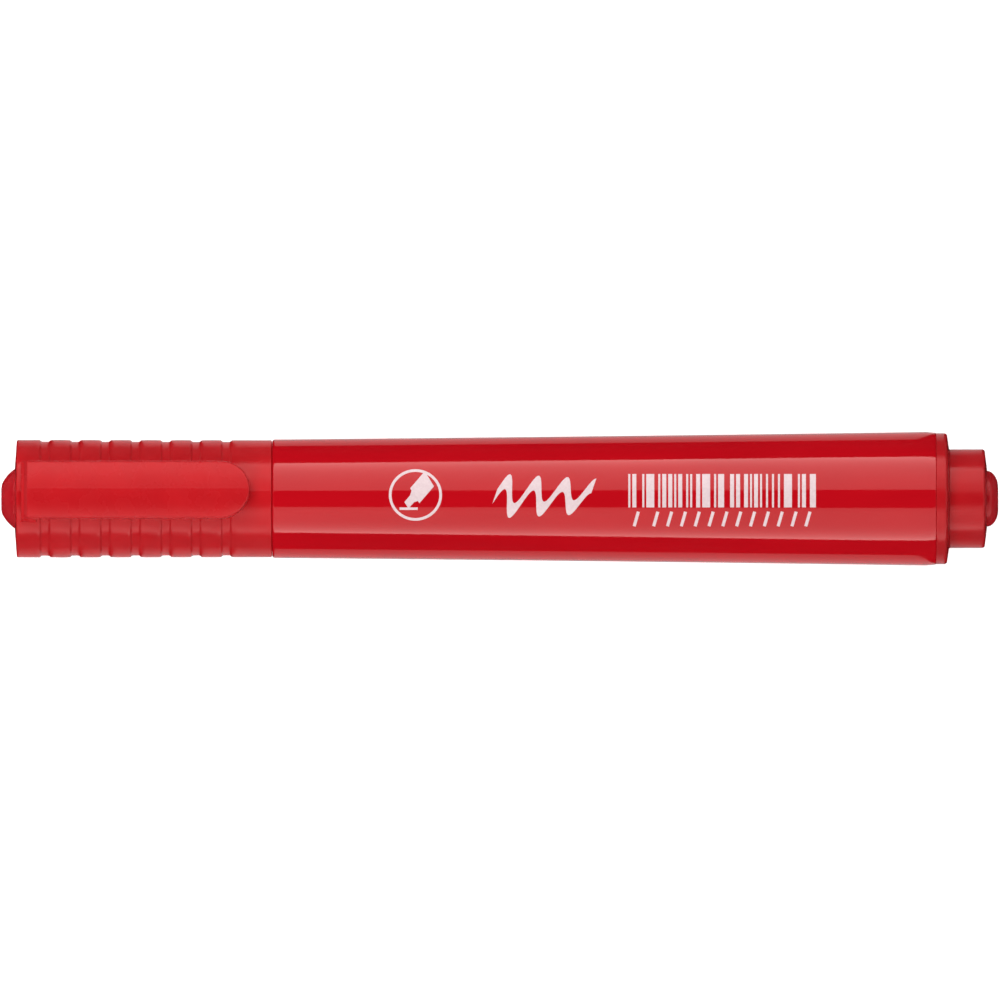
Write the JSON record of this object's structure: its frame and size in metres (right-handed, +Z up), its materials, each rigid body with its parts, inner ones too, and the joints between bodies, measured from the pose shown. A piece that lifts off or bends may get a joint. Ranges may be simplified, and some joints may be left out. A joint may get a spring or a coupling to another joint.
{
  "type": "felt tip marker",
  "caption": "Capped red felt tip marker: ribbed snap cap with pocket clip, flared barrel, chisel nib fed by a fibre ink reservoir, plugged tail with a post for the cap.",
  "frame": {"origin": "under the middle of the capped marker's length, on the surface it lies on", "axes": "+X along the marker from the cap's crown to the tail, +Z up through the pocket clip, +Y across"},
  "size_m": [0.1328, 0.0178, 0.0193],
  "materials": {
    "barrel_red": "glossy moulded polypropylene, red",
    "cap_red": "satin moulded polypropylene, red",
    "button_red": "glossy moulded plastic, darker red",
    "liner_white": "soft natural polyethylene",
    "nib_felt": "bonded felt soaked with red ink",
    "ink_fibre": "bundled fibres soaked with red ink",
    "film_clear": "thin film",
    "print_ink": "pad-printed white ink"
  },
  "bodies": {
    "barrel": {"barrel": "barrel_red", "nib_holder": "cap_red", "nib": "nib_felt", "ink_reservoir": "ink_fibre", "reservoir_film": "film_clear"},
    "inner_cap": {"inner_cap": "liner_white"},
    "cap_shell": {"cap_shell": "cap_red", "crown_button": "button_red"},
    "pocket_clip": {"pocket_clip": "cap_red"},
    "tail_plug": {"tail_plug": "cap_red", "tail_button": "button_red"}
  },
  "joints": [
    {"name": "cap_pull", "type": "slide", "parent": "barrel", "child": "inner_cap", "axis": [-1, 0, 0], "range_m": [0, 0.045]},
    {"name": "cap_turn", "type": "hinge", "parent": "inner_cap", "child": "cap_shell", "pos_m": [-0.047, 0, 0.00887], "axis": [1, 0, 0], "continuous": true},
    {"name": "clip_flex", "type": "hinge", "parent": "cap_shell", "child": "pocket_clip", "pos_m": [-0.06348, 0, 0.01678], "axis": [0, -1, 0], "range_deg": [0, 5], "stiffness_Nm_per_rad": 1.4},
    {"name": "plug_pull", "type": "slide", "parent": "barrel", "child": "tail_plug", "axis": [1, 0, 0], "range_m": [0, 0.03]}
  ]
}
